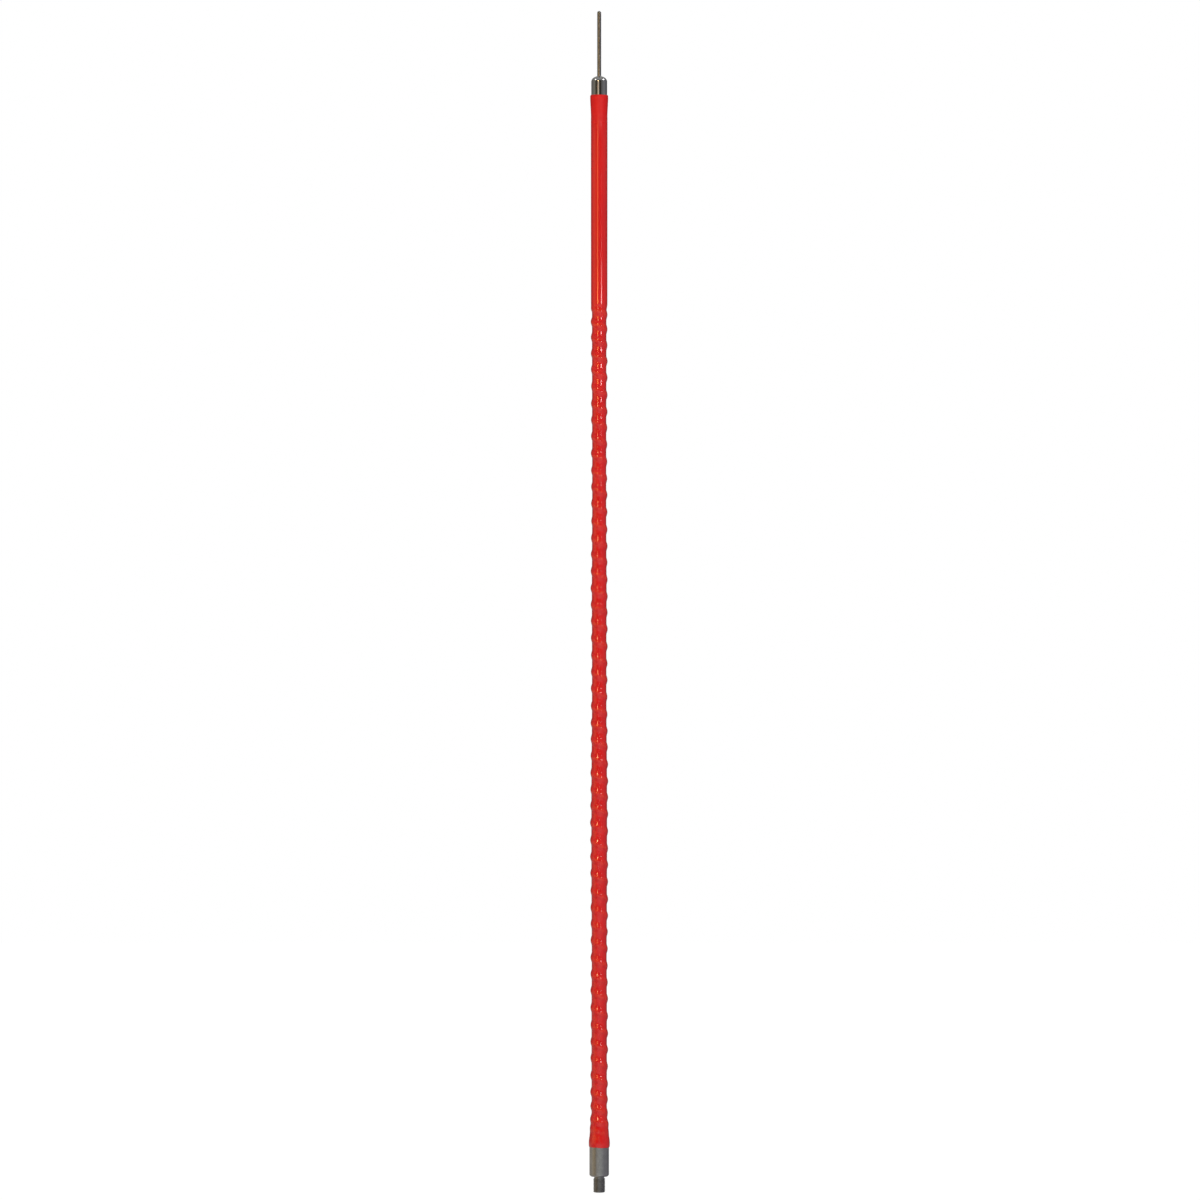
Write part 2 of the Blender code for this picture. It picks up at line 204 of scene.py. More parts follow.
# Top ferrule, whip and set screw
TOP_SOCKET = 9.5 * MM
DOME_HEIGHT = 4.3 * MM
WHIP_RADIUS = 1.5875 * MM
WHIP_BORE_RADIUS = 1.7375 * MM
SCREW_RADIUS = 2.0 * MM
SCREW_PITCH = 0.7 * MM
SCREW_CHAMFER = 0.4 * MM
SCREW_ROOM = 0.1 * MM
HEX_ACROSS_FLATS = 2.0 * MM
HEX_DEPTH = 1.8 * MM
HEX_POINT = 0.35 * MM

# Depth of a 60-degree thread, and the flats on its crest and root, as shares of its pitch
THREAD_DEPTH = 0.51
THREAD_CREST = 0.25
THREAD_ROOT = 0.16
THREAD_STEPS = 48
THREAD_ROOM = 0.02 * MM

MERGE = 0.002 * MM
FAR = 9.0


# ---------------------------------------------------------------- modelling helpers


def choose(obj):
    """Makes a piece the only selected one and the active one."""
    bpy.ops.object.select_all(action="DESELECT")
    bpy.context.view_layer.objects.active = obj
    obj.select_set(True)


def new_piece(name):
    """Names the piece that was just added, and returns it."""
    obj = bpy.context.object
    obj.name = name
    obj.data.name = name
    return obj


def settle():
    """Puts the chosen piece's place, turn and scale into its mesh."""
    bpy.ops.object.transform_apply(location=True, rotation=True, scale=True)


def start_editing(obj):
    choose(obj)
    bpy.ops.object.mode_set(mode="EDIT")


def stop_editing():
    bpy.ops.object.mode_set(mode="OBJECT")


def pick(obj, kind, test):
    """Selects the vertices, edges or faces of the piece in edit mode that pass a test."""
    bpy.ops.mesh.select_mode(type=kind)
    bpy.ops.mesh.select_all(action="DESELECT")
    mesh = bmesh.from_edit_mesh(obj.data)
    items = {"VERT": mesh.verts, "EDGE": mesh.edges, "FACE": mesh.faces}[kind]
    for item in items:
        if test(item):
            item.select_set(True)
    bmesh.update_edit_mesh(obj.data)


def pick_flat(obj, height, upwards):
    """Selects the level faces at a height that look up, or down."""
    def level(face):
        middle = face.calc_center_median()
        return abs(middle.z - height) < MERGE and face.normal.z * (1 if upwards else -1) > 0.9
    pick(obj, "FACE", level)


def pick_rings(obj, rings):
    """Selects the round edges at the given (radius, height) places."""
    def on_ring(edge):
        for radius, height in rings:
            if all(
                abs(v.co.z - height) < 5 * MERGE and abs(v.co.xy.length - radius) < 5 * MERGE
                for v in edge.verts
            ):
                return True
        return False
    pick(obj, "EDGE", on_ring)


def carry_face(start, outline):
    """Extrudes and resizes the selected round face through (radius, height) steps."""
    radius, height = start
    for next_radius, next_height in outline:
        bpy.ops.mesh.extrude_region_move(
            TRANSFORM_OT_translate={"value": (0, 0, next_height - height)}
        )
        share = next_radius / radius
        bpy.ops.transform.resize(value=(share, share, 1), center_override=(0, 0, next_height))
        radius, height = next_radius, next_height


def round_rings(obj, rings, width, segments=3):
    pick_rings(obj, rings)
    bpy.ops.mesh.bevel(offset=width, segments=segments, affect="EDGES")


def cylinder(name, radius, low, high, sides):
    """An upright cylinder about the Z axis, with its place in its mesh."""
    bpy.ops.object.select_all(action="DESELECT")
    bpy.ops.mesh.primitive_cylinder_add(
        vertices=sides, radius=radius, depth=high - low, location=(0, 0, (low + high) / 2)
    )
    obj = new_piece(name)
    settle()
    return obj


def close_ends(obj):
    """Fills the openings of the piece in edit mode."""
    pick(obj, "EDGE", lambda edge: edge.is_boundary)
    bpy.ops.mesh.fill_holes(sides=0)
    weld()


def weld():
    """Merges doubled points of the piece in edit mode and turns its faces outwards."""
    bpy.ops.mesh.select_all(action="SELECT")
    bpy.ops.mesh.remove_doubles(threshold=MERGE)
    bpy.ops.mesh.normals_make_consistent(inside=False)


def apply_modifiers(obj):
    choose(obj)
    for modifier in list(obj.modifiers):
        bpy.ops.object.modifier_apply(modifier=modifier.name)


def cut_or_join(obj, tool, operation):
    """Cuts a piece by a tool, joins the tool to it, or keeps what both share. The tool is used up."""
    modifier = obj.modifiers.new("Shape", "BOOLEAN")
    modifier.object = tool
    modifier.operation = operation
    modifier.solver = "EXACT"
    apply_modifiers(obj)
    bpy.data.objects.remove(tool)
    start_editing(obj)
    weld()
    stop_editing()


def smooth(obj, degrees):
    choose(obj)
    bpy.ops.object.shade_smooth_by_angle(angle=math.radians(degrees))


def draw_chain(name, points):
    """A chain of edges through (radius, height) points, drawn by extruding one vertex."""
    bpy.ops.object.select_all(action="DESELECT")
    bpy.ops.mesh.primitive_plane_add(size=MM)
    obj = new_piece(name)
    bpy.ops.object.mode_set(mode="EDIT")
    bpy.ops.mesh.select_mode(type="VERT")
    bpy.ops.mesh.merge(type="CENTER")
    radius, height = points[0]
    bpy.ops.transform.translate(value=(radius, 0, height))
    for next_radius, next_height in points[1:]:
        step = (next_radius - radius, 0, next_height - height)
        bpy.ops.mesh.extrude_region_move(TRANSFORM_OT_translate={"value": step})
        radius, height = next_radius, next_height
    stop_editing()
    return obj


def thread(name, major, pitch, low, high):
    """A closed right-hand screw thread about Z, which reaches past both heights."""
    root = major - THREAD_DEPTH * pitch
    half_foot = (1 - THREAD_ROOT) / 2 * pitch
    half_crest = THREAD_CREST / 2 * pitch
    turns = math.ceil((high - low) / pitch) + 4
    first = high + 1.5 * pitch
    last = first - (turns - 1) * pitch
    chain = [(0, first + half_foot)]
    for turn in range(turns):
        crest = first - turn * pitch
        chain.append((root, crest + half_foot))
        chain.append((major, crest + half_crest))
        chain.append((major, crest - half_crest))
        chain.append((root, crest - half_foot))
    chain.append((0, last - half_foot))
    obj = draw_chain(name, chain)
    turn = obj.modifiers.new("Turn", "SCREW")
    turn.steps = THREAD_STEPS
    turn.render_steps = THREAD_STEPS
    turn.screw_offset = pitch
    turn.use_merge_vertices = True
    turn.merge_threshold = MERGE
    apply_modifiers(obj)
    start_editing(obj)
    bpy.ops.mesh.select_all(action="SELECT")
    bpy.ops.mesh.remove_doubles(threshold=MERGE)
    close_ends(obj)
    stop_editing()
    return obj


def level_shading(obj):
    """Lets the large faces rule the shading, so a bevel doesn't tilt the wall beside it."""
    modifier = obj.modifiers.new("Shading", "WEIGHTED_NORMAL")
    modifier.mode = "FACE_AREA"
    modifier.weight = 100
    modifier.keep_sharp = True
    apply_modifiers(obj)


def finished(obj, body, slot, material, *replaced, degrees=32):
    """Smooths a piece, gives it its material and says what it rides on and stands for."""
    smooth(obj, degrees)
    obj.data.materials.clear()
    obj.data.materials.append(material)
    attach(obj, body)
    if replaced:
        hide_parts(*replaced)
    return obj


def read_points(mesh):
    """The mesh's points as rows of X, Y and Z."""
    points = np.empty(len(mesh.vertices) * 3)
    mesh.vertices.foreach_get("co", points)
    return points.reshape(-1, 3)


def write_points(mesh, points):
    mesh.vertices.foreach_set("co", points.ravel())
    mesh.update()


# ---------------------------------------------------------------- the wire's path, which the jacket shows


def drawn_in(turn):
    """How far a turn sits above an evenly pitched winding, at the crowded foot and top."""
    top_share = max(0.0, 1 - turn / 4)
    foot_share = max(0.0, (turn - 46) / 3)
    return (5.1 * foot_share**2.5 - 4.43 * top_share**2.2) * MM


def wander(turn):
    """A hand-wound turn's small drift from its even place."""
    settled = min(1.0, max(0.0, turn / 3), max(0.0, (51 - turn) / 3))
    drift = 0.30 * math.sin(1.7 * turn + 0.4) + 0.22 * math.sin(0.61 * turn + 2.0)
    return drift * settled * MM


def wire_height(turn):
    """The open winding's height. Turn 0 is at the far left (-X), and the turns count downwards."""
    even = FIRST_TURN_HEIGHT - turn * RIDGE_PITCH
    return even + drawn_in(turn) + wander(turn)


# ---------------------------------------------------------------- materials


def new_material(name, metallic, roughness):
    """A material with its Principled shader and the piece's own coordinates."""
    material = bpy.data.materials.new(name)
    material.use_nodes = True
    tree = material.node_tree
    shader = tree.nodes["Principled BSDF"]
    shader.inputs["Metallic"].default_value = metallic
    shader.inputs["Roughness"].default_value = roughness
    place = tree.nodes.new("ShaderNodeTexCoord")
    return material, tree, shader, place.outputs["Object"]


def stretched(tree, place, scale):
    """Coordinates scaled by a different amount along each axis."""
    mapping = tree.nodes.new("ShaderNodeMapping")
    mapping.inputs["Scale"].default_value = scale
    tree.links.new(place, mapping.inputs["Vector"])
    return mapping.outputs["Vector"]


def grain(tree, place, scale, detail=3.0, roughness=0.55):
    noise = tree.nodes.new("ShaderNodeTexNoise")
    noise.inputs["Scale"].default_value = scale
    noise.inputs["Detail"].default_value = detail
    noise.inputs["Roughness"].default_value = roughness
    tree.links.new(place, noise.inputs["Vector"])
    return noise.outputs["Fac"]


def spread(tree, value, low_in, high_in, low_out, high_out):
    """Maps a value's range onto another range, and stops at its ends."""
    node = tree.nodes.new("ShaderNodeMapRange")
    node.inputs["From Min"].default_value = low_in
    node.inputs["From Max"].default_value = high_in
    node.inputs["To Min"].default_value = low_out
    node.inputs["To Max"].default_value = high_out
    tree.links.new(value, node.inputs["Value"])
    return node.outputs["Result"]


def arithmetic(tree, operation, first, second):
    node = tree.nodes.new("ShaderNodeMath")
    node.operation = operation
    tree.links.new(first, node.inputs[0])
    tree.links.new(second, node.inputs[1])
    return node.outputs["Value"]


def product(tree, first, second):
    return arithmetic(tree, "MULTIPLY", first, second)


def height_in(tree, place):
    """The height along the antenna, from a piece's coordinates."""
    split = tree.nodes.new("ShaderNodeSeparateXYZ")
    tree.links.new(place, split.inputs["Vector"])
    return split.outputs["Z"]


def blended(tree, share, first, second):
    """One colour fading to another. Either may be a colour or another node's output."""
    mix = tree.nodes.new("ShaderNodeMix")
    mix.data_type = "RGBA"
    tree.links.new(share, mix.inputs["Factor"])
    for name, colour in (("A", first), ("B", second)):
        socket = next(s for s in mix.inputs if s.name == name and s.type == "RGBA")
        if isinstance(colour, tuple):
            socket.default_value = (*colour, 1)
        else:
            tree.links.new(colour, socket)
    return next(s for s in mix.outputs if s.type == "RGBA")


def tinted(tree, value, low, high, first, second):
    """One colour fading to another as a value rises from low to high."""
    return blended(tree, spread(tree, value, low, high, 0, 1), first, second)


def dress(tree, shader, colour, roughness):
    """Gives a shader its colour and its roughness."""
    tree.links.new(colour, shader.inputs["Base Color"])
    tree.links.new(roughness, shader.inputs["Roughness"])


def relief(tree, shader, layers):
    """Stacks bump layers, each a height, a strength and a depth in metres."""
    normal = None
    for height, strength, depth in layers:
        bump = tree.nodes.new("ShaderNodeBump")
        bump.inputs["Strength"].default_value = strength
        bump.inputs["Distance"].default_value = depth
        tree.links.new(height, bump.inputs["Height"])
        if normal:
            tree.links.new(normal, bump.inputs["Normal"])
        normal = bump.outputs["Normal"]
    tree.links.new(normal, shader.inputs["Normal"])


def red_vinyl():
    """Glossy shrunk vinyl, drawn lengthways, scuffed and painted with a warm orange sheen on the ridges,
    and dull where its mouth is stretched.
    """
    material, tree, shader, place = new_material("red_vinyl_jacket", 0.0, 0.3)
    shader.inputs["IOR"].default_value = 1.54
    shader.inputs["Coat Roughness"].default_value = 0.07
    start = JACKET_TOP - DULL_START
    full = JACKET_TOP - DULL_FULL
    stretch = spread(tree, height_in(tree, place), start, full, 0, DULLNESS)
    tree.links.new(spread(tree, stretch, 0, DULLNESS, 0.3, 0), shader.inputs["Coat Weight"])
    shine = spread(tree, stretch, 0, DULLNESS, 0.5, 0.22)
    tree.links.new(shine, shader.inputs["Specular IOR Level"])
    ridge = tree.nodes.new("ShaderNodeAttribute")
    ridge.attribute_name = "ridge"
    cloud = grain(tree, place, 55, 3)
    fleck = grain(tree, place, 1400, 2)
    draw = grain(tree, stretched(tree, place, (2600, 2600, 45)), 1, 3)
    pigment = tinted(tree, cloud, 0.3, 0.7, (0.60, 0.0085, 0.010), (0.65, 0.012, 0.012))
    # The orange on the crests is scuffed vinyl plus a painted highlight: the warm sheen of lamp light on
    # the ridges
    crest = spread(tree, ridge.outputs["Fac"], 0.25, 0.9, 0, 0.8)
    mottle = spread(tree, grain(tree, place, 520, 3), 0.42, 0.62, 0, 1)
    worn_and_sheen = blended(tree, product(tree, crest, mottle), pigment, (0.68, 0.036, 0.016))
    dusty = blended(tree, spread(tree, fleck, 0.62, 0.8, 0, 0.18), worn_and_sheen, (0.62, 0.045, 0.04))
    polish = spread(tree, grain(tree, place, 160, 4), 0.3, 0.75, 0.07, 0.13)
    dress(tree, shader, dusty, arithmetic(tree, "ADD", polish, stretch))
    relief(
        tree,
        shader,
        [
            (draw, 0.06, 0.00005),
            (grain(tree, place, 420, 2), 0.04, 0.00012),
            (product(tree, crest, grain(tree, place, 700, 2)), 0.30, 0.00020),
            (fleck, 0.05, 0.00004),
        ],
    )
    return material


def turned_nickel():
    """Dull nickel plate over fine turning marks, a little darker where fingers and damp have been;
    painted shade darkens the threaded stud.
    """
    material, tree, shader, place = new_material("satin_nickel_plate", 1.0, 0.3)
    shader.inputs["Anisotropic"].default_value = 0.3
    rings = grain(tree, stretched(tree, place, (60, 60, 9000)), 1, 2)
    cloud = grain(tree, place, 190, 4)
    spots = grain(tree, place, 1100, 3)
    metal = tinted(tree, cloud, 0.3, 0.72, (0.52, 0.505, 0.485), (0.43, 0.425, 0.415))
    stained = blended(tree, spread(tree, spots, 0.66, 0.78, 0, 0.5), metal, (0.22, 0.21, 0.19))
    # The threaded stud is painted darker: painted shade standing in for the shadow in its thread
    stud_shade_share = spread(tree, height_in(tree, place), STUD_LENGTH - 0.9 * MM, STUD_LENGTH, 0.2, 0)
    painted_stud_shade = blended(tree, stud_shade_share, stained, (0.10, 0.098, 0.09))
    dress(tree, shader, painted_stud_shade, spread(tree, cloud, 0.25, 0.75, 0.17, 0.29))
    relief(tree, shader, [(rings, 0.10, 0.00002), (spots, 0.05, 0.00002)])
    return material


def bright_chrome():
    """Mirror chrome with faint smears and hairline wipe marks."""
    material, tree, shader, place = new_material("bright_chrome_plate", 1.0, 0.1)
    smear = grain(tree, place, 260, 4)
    wipes = grain(tree, stretched(tree, place, (500, 500, 7000)), 1, 2)
    colour = tinted(tree, smear, 0.3, 0.7, (0.58, 0.58, 0.565), (0.52, 0.525, 0.52))
    dress(tree, shader, colour, spread(tree, smear, 0.3, 0.75, 0.03, 0.09))
    relief(tree, shader, [(wipes, 0.03, 0.00001)])
    return material


def drawn_steel():
    """Stainless rod, drawn lengthways and rubbed dull where it slides."""
    material, tree, shader, place = new_material("drawn_stainless_steel", 1.0, 0.3)
    drawn = grain(tree, stretched(tree, place, (5200, 5200, 35)), 1, 3)
    cloud = grain(tree, place, 240, 3)
    colour = tinted(tree, cloud, 0.3, 0.7, (0.32, 0.315, 0.30), (0.24, 0.237, 0.225))
    dress(tree, shader, colour, spread(tree, drawn, 0.3, 0.7, 0.22, 0.38))
    relief(tree, shader, [(drawn, 0.14, 0.00002)])
    return material


def black_steel():
    """Oil-blackened steel, rubbed through to bare metal in places."""
    material, tree, shader, place = new_material("blackened_steel", 1.0, 0.4)
    cloud = grain(tree, place, 900, 4)
    pits = grain(tree, place, 5200, 3)
    colour = tinted(tree, cloud, 0.55, 0.75, (0.10, 0.10, 0.105), (0.26, 0.25, 0.24))
    dress(tree, shader, colour, spread(tree, cloud, 0.3, 0.7, 0.48, 0.3))
    relief(tree, shader, [(pits, 0.12, 0.00001)])
    return material


def enamelled_copper():
    """Copper wire under a clear brown enamel that has run thin in places."""
    material, tree, shader, place = new_material("enamelled_copper_wire", 1.0, 0.25)
    shader.inputs["Coat Weight"].default_value = 0.8
    shader.inputs["Coat Roughness"].default_value = 0.08
    cloud = grain(tree, place, 420, 4)
    colour = tinted(tree, cloud, 0.3, 0.7, (0.55, 0.20, 0.07), (0.38, 0.12, 0.045))
    dress(tree, shader, colour, spread(tree, cloud, 0.3, 0.7, 0.18, 0.34))
    relief(tree, shader, [(grain(tree, place, 2600, 2), 0.06, 0.00002)])
    return material


def soft_solder():
    """Grey solder, bright where it ran and frosty where it set."""
    material, tree, shader, place = new_material("soft_solder", 1.0, 0.35)
    frost = grain(tree, place, 2200, 5)
    colour = tinted(tree, frost, 0.35, 0.65, (0.60, 0.60, 0.585), (0.36, 0.36, 0.355))
    dress(tree, shader, colour, spread(tree, frost, 0.3, 0.7, 0.2, 0.55))
    relief(tree, shader, [(frost, 0.25, 0.00004)])
    return material


def fibreglass():
    """Straw-coloured resin full of lengthways glass strands."""
    material, tree, shader, place = new_material("fibreglass_rod", 0.0, 0.42)
    shader.inputs["Subsurface Weight"].default_value = 0.12
    shader.inputs["Subsurface Radius"].default_value = (0.004, 0.003, 0.0015)
    strands = grain(tree, stretched(tree, place, (3400, 3400, 22)), 1, 4)
    cloud = grain(tree, place, 120, 3)
    resin = tinted(tree, cloud, 0.3, 0.7, (0.60, 0.56, 0.32), (0.52, 0.47, 0.24))
    colour = blended(tree, spread(tree, strands, 0.45, 0.72, 0, 0.7), resin, (0.78, 0.77, 0.62))
    dress(tree, shader, colour, spread(tree, strands, 0.3, 0.7, 0.5, 0.34))
    relief(tree, shader, [(strands, 0.3, 0.00004)])
    return material


def amber_epoxy():
    """Cured adhesive, amber and a little cloudy, with small bubbles."""
    material, tree, shader, place = new_material("amber_epoxy", 0.0, 0.2)
    shader.inputs["Subsurface Weight"].default_value = 0.3
    shader.inputs["Subsurface Radius"].default_value = (0.003, 0.0015, 0.0005)
    cloud = grain(tree, place, 500, 4)
    bubbles = tree.nodes.new("ShaderNodeTexVoronoi")
    bubbles.inputs["Scale"].default_value = 2400
    tree.links.new(place, bubbles.inputs["Vector"])
    colour = tinted(tree, cloud, 0.3, 0.7, (0.58, 0.40, 0.12), (0.44, 0.27, 0.07))
    dress(tree, shader, colour, spread(tree, cloud, 0.3, 0.7, 0.14, 0.3))
    relief(tree, shader, [(bubbles.outputs["Distance"], 0.12, 0.00004)])
    return material


def pale_floor():
    """White paper that only the eye sees. Other light passes through it, so the metal doesn't show it."""
    material, tree, shader, place = new_material("pale_floor", 0.0, 1.0)
    shade = grain(tree, place, 3, 2)
    colour = blended(tree, shade, (0.10, 0.10, 0.10), (0.12, 0.12, 0.12))
    tree.links.new(colour, shader.inputs["Base Color"])
    shader.inputs["Specular IOR Level"].default_value = 0.0
    shader.inputs["Emission Color"].default_value = (1, 1, 1, 1)
    shader.inputs["Emission Strength"].default_value = 0.95
    clear = tree.nodes.new("ShaderNodeBsdfTransparent")
    path = tree.nodes.new("ShaderNodeLightPath")
    mix = tree.nodes.new("ShaderNodeMixShader")
    tree.links.new(path.outputs["Is Camera Ray"], mix.inputs["Fac"])
    tree.links.new(clear.outputs["BSDF"], mix.inputs[1])
    tree.links.new(shader.outputs["BSDF"], mix.inputs[2])
    tree.links.new(mix.outputs["Shader"], tree.nodes["Material Output"].inputs["Surface"])
    return material


# ---------------------------------------------------------------- pieces


def make_base_ferrule(material):
    """The socket for the rod with its threaded stud, turned from one bar."""
    low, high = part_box("base_ferrule")
    radius = high.x
    rim = high.z
    shoulder = low.z + STUD_LENGTH
    floor = shoulder + BASE_FLOOR
    ferrule = cylinder("turned_base_ferrule", radius, shoulder, rim, 64)
    start_editing(ferrule)
    pick_flat(ferrule, rim, True)
    carry_face((radius, rim), [(SOCKET_RADIUS, rim), (SOCKET_RADIUS, floor)])
    pick_flat(ferrule, shoulder, False)
    neck = [
        (STUD_NECK_RADIUS + 0.9 * MM, shoulder),
        (STUD_NECK_RADIUS + 0.35 * MM, shoulder - 0.15 * MM),
        (STUD_NECK_RADIUS, shoulder - 0.5 * MM),
        (STUD_NECK_RADIUS, shoulder - STUD_NECK_LENGTH - STUD_CHAMFER),
    ]
    carry_face((radius, shoulder), neck)
    round_rings(ferrule, [(radius, shoulder)], BASE_CHAMFER, 1)
    lower_edges = [(radius, shoulder + BASE_CHAMFER), (radius - BASE_CHAMFER, shoulder)]
    round_rings(ferrule, lower_edges, BASE_EDGE, 3)
    round_rings(ferrule, [(radius, rim), (SOCKET_RADIUS, rim)], BASE_EDGE, 3)
    weld()
    stop_editing()
    cut_or_join(ferrule, threaded_stud(low.z, shoulder - STUD_NECK_LENGTH), "UNION")
    finished(ferrule, "antenna", "satin_nickel_plate", material, "base_ferrule")
    level_shading(ferrule)


def threaded_stud(foot, top):
    """The stud's thread, rounded off at its foot and chamfered at its top."""
    stud = thread("stud", STUD_RADIUS, STUD_PITCH, foot, top)
    reach = STUD_RADIUS + THREAD_ROOM
    envelope = cylinder("stud_envelope", reach, foot, top, THREAD_STEPS)
    start_editing(envelope)
    round_rings(envelope, [(reach, foot)], STUD_END_ROUND, 4)
    round_rings(envelope, [(reach, top)], STUD_TOP_CHAMFER, 1)
    stop_editing()
    cut_or_join(stud, envelope, "INTERSECT")
    return stud


def dome(radius, top):
    """The rings of a rounded nose from its side up to the whip's bore."""
    end = math.acos(WHIP_BORE_RADIUS / radius)
    rings = []
    for step in range(1, 15):
        angle = end * step / 14
        height = top - DOME_HEIGHT * (1 - math.sin(angle) / math.sin(end))
        rings.append((radius * math.cos(angle), height))
    return rings


def make_top_ferrule(material):
    """The domed ferrule, open for the rod below, for the whip above and for the set screw behind."""
    low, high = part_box("top_ferrule")
    screw_low, screw_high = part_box("set_screw")
    screw_height = (screw_low.z + screw_high.z) / 2
    radius = high.x
    ceiling = low.z + TOP_SOCKET
    side_top = high.z - DOME_HEIGHT
    ferrule = cylinder("domed_top_ferrule", radius, low.z, side_top, 64)
    start_editing(ferrule)
    pick_flat(ferrule, side_top, True)
    carry_face((radius, side_top), dome(radius, high.z) + [(WHIP_BORE_RADIUS, ceiling)])
    bpy.ops.mesh.delete(type="ONLY_FACE")
    pick_flat(ferrule, low.z, False)
    carry_face(
        (radius, low.z),
        [(SOCKET_RADIUS, low.z), (SOCKET_RADIUS, ceiling), (WHIP_BORE_RADIUS, ceiling)],
    )
    bpy.ops.mesh.delete(type="ONLY_FACE")
    weld()
    round_rings(ferrule, [(WHIP_BORE_RADIUS, high.z)], 0.22 * MM, 3)
    round_rings(ferrule, [(radius, low.z), (SOCKET_RADIUS, low.z)], 0.25 * MM, 2)
    stop_editing()
    hole = cylinder("hole", SCREW_RADIUS + SCREW_ROOM, WHIP_BORE_RADIUS / 2, radius + MM, 48)
    hole.rotation_euler = (-math.pi / 2, 0, 0)
    hole.location = (0, 0, screw_height)
    cut_or_join(ferrule, hole, "DIFFERENCE")
    finished(ferrule, "antenna", "bright_chrome", material, "top_ferrule")
    level_shading(ferrule)


def make_whip(material):
    """The straight steel whip: a round tip and a chamfered foot."""
    low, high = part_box("tuning_whip")
    whip = cylinder("steel_tuning_whip", WHIP_RADIUS, low.z, high.z, 40)
    start_editing(whip)
    round_rings(whip, [(WHIP_RADIUS, high.z)], WHIP_RADIUS * 0.92, 7)
    round_rings(whip, [(WHIP_RADIUS, low.z)], 0.3 * MM, 2)
    stop_editing()
    finished(whip, "whip", "stainless_steel", material, "tuning_whip")
    level_shading(whip)


def make_set_screw(material):
    """The grub screw that clamps the whip, threaded, with a hexagon socket in its outer end."""
    low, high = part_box("set_screw")
    length = high.y - low.y
    screw = thread("hex_set_screw", SCREW_RADIUS, SCREW_PITCH, 0, length)
    reach = SCREW_RADIUS + THREAD_ROOM
    envelope = cylinder("screw_envelope", reach, 0, length, THREAD_STEPS)
    start_editing(envelope)
    round_rings(envelope, [(reach, 0), (reach, length)], SCREW_CHAMFER, 2)
    stop_editing()
    cut_or_join(screw, envelope, "INTERSECT")
    corner = HEX_ACROSS_FLATS / 2 / math.cos(math.pi / 6)
    floor = length - HEX_DEPTH
    socket = cylinder("hex_socket", corner, floor, length + MM, 6)
    start_editing(socket)
    pick_flat(socket, floor, False)
    carry_face((corner, floor), [(corner * 0.05, floor - HEX_POINT)])
    stop_editing()
    cut_or_join(screw, socket, "DIFFERENCE")
    screw.rotation_euler = (-math.pi / 2, 0, 0)
    screw.location = (0, low.y, (low.z + high.z) / 2)
    choose(screw)
    settle()
    return finished(screw, "clamp_screw", "black_steel", material, "set_screw")


def make_winding(material):
    """One wire: the close coil, the open turns below it and a lead to the solder at each end."""
    coil_foot = wire_height(COIL_TURN)
    coil_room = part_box("loading_coil")[1].z - WIRE_RADIUS - coil_foot
    coil_turns = math.floor(coil_room / COIL_PITCH) - 0.35
    rise = middle_height("top_solder_joint") - coil_foot - coil_turns * COIL_PITCH
    drop = wire_height(FOOT_TURN) - middle_height("base_solder_joint")
    turns = coil_turns + FOOT_TURN - COIL_TURN
    steps = round(turns * STEPS_PER_TURN)
    wire = evenly_wound(turns, steps)
    place_turns(wire, coil_turns, turns, steps, rise, drop)
    start_editing(wire)
    close_ends(wire)
    stop_editing()
    return finished(
        wire, "antenna", "enamelled_copper", material, "open_winding", "loading_coil", degrees=50
    )


def middle_height(node):
    """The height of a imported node's middle."""
    low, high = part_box(node)
    return (low.z + high.z) / 2


def evenly_wound(turns, steps):
    """The wire's section, swept down the rod by even turns."""
    bpy.ops.object.select_all(action="DESELECT")
    bpy.ops.mesh.primitive_circle_add(
        vertices=WIRE_SIDES,
        radius=WIRE_RADIUS,
        location=(WIRE_TURN_RADIUS, 0, 0),
        rotation=(math.pi / 2, 0, 0),
    )
    wire = new_piece("winding_wire")
    settle()
    turn = wire.modifiers.new("Wind", "SCREW")
    turn.angle = turns * 2 * math.pi
    turn.screw_offset = -turns * RIDGE_PITCH
    turn.steps = steps
    turn.render_steps = steps
    turn.use_merge_vertices = False
    apply_modifiers(wire)
    return wire


def place_turns(wire, coil_turns, turns, steps, rise, drop):
    """Moves each ring of the evenly wound wire to its own height and angle."""
    points = read_points(wire.data).reshape(steps + 1, -1, 3)
    for step in range(steps + 1):
        wound = turns * step / steps
        turn = COIL_TURN - coil_turns + wound
        even = -wound * RIDGE_PITCH
        if turn < COIL_TURN:
            height = wire_height(COIL_TURN) + (COIL_TURN - turn) * COIL_PITCH
        else:
            height = wire_height(turn)
        height += rise * max(0.0, 1 - wound / LEAD_TURNS) ** 1.5
        height -= drop * max(0.0, 1 - (turns - wound) / LEAD_TURNS) ** 1.5
        angle = 2 * math.pi * (turn - wound) + math.pi
        x = points[step, :, 0].copy()
        y = points[step, :, 1].copy()
        points[step, :, 0] = x * math.cos(angle) - y * math.sin(angle)
        points[step, :, 1] = x * math.sin(angle) + y * math.cos(angle)
        points[step, :, 2] += height - even
    write_points(wire.data, points)


def eased(share):
    """0 to 1 with a level start and end, for a number or an array."""
    share = np.clip(share, 0, 1)
    return share * share * (3 - 2 * share)


def fade(heights, start, length):
    """0 to 1 over a length from a start, both in millimetres."""
    return eased((heights / MM - start) / length)


def through(heights, outline, start=0.0):
    """A smooth radius at each height, through (height over the start, radius) points in millimetres."""
    places = start + np.array([height for height, radius in outline]) * MM
    values = np.array([radius for height, radius in outline]) * MM
    slopes = np.gradient(values, places)
    index = np.clip(np.searchsorted(places, heights) - 1, 0, len(places) - 2)
    width = places[index + 1] - places[index]
    share = np.clip((heights - places[index]) / width, 0, 1)
    rise = eased(share)
    bend = share * (1 - share) ** 2 * slopes[index] - share**2 * (1 - share) * slopes[index + 1]
    return values[index] * (1 - rise) + values[index + 1] * rise + bend * width


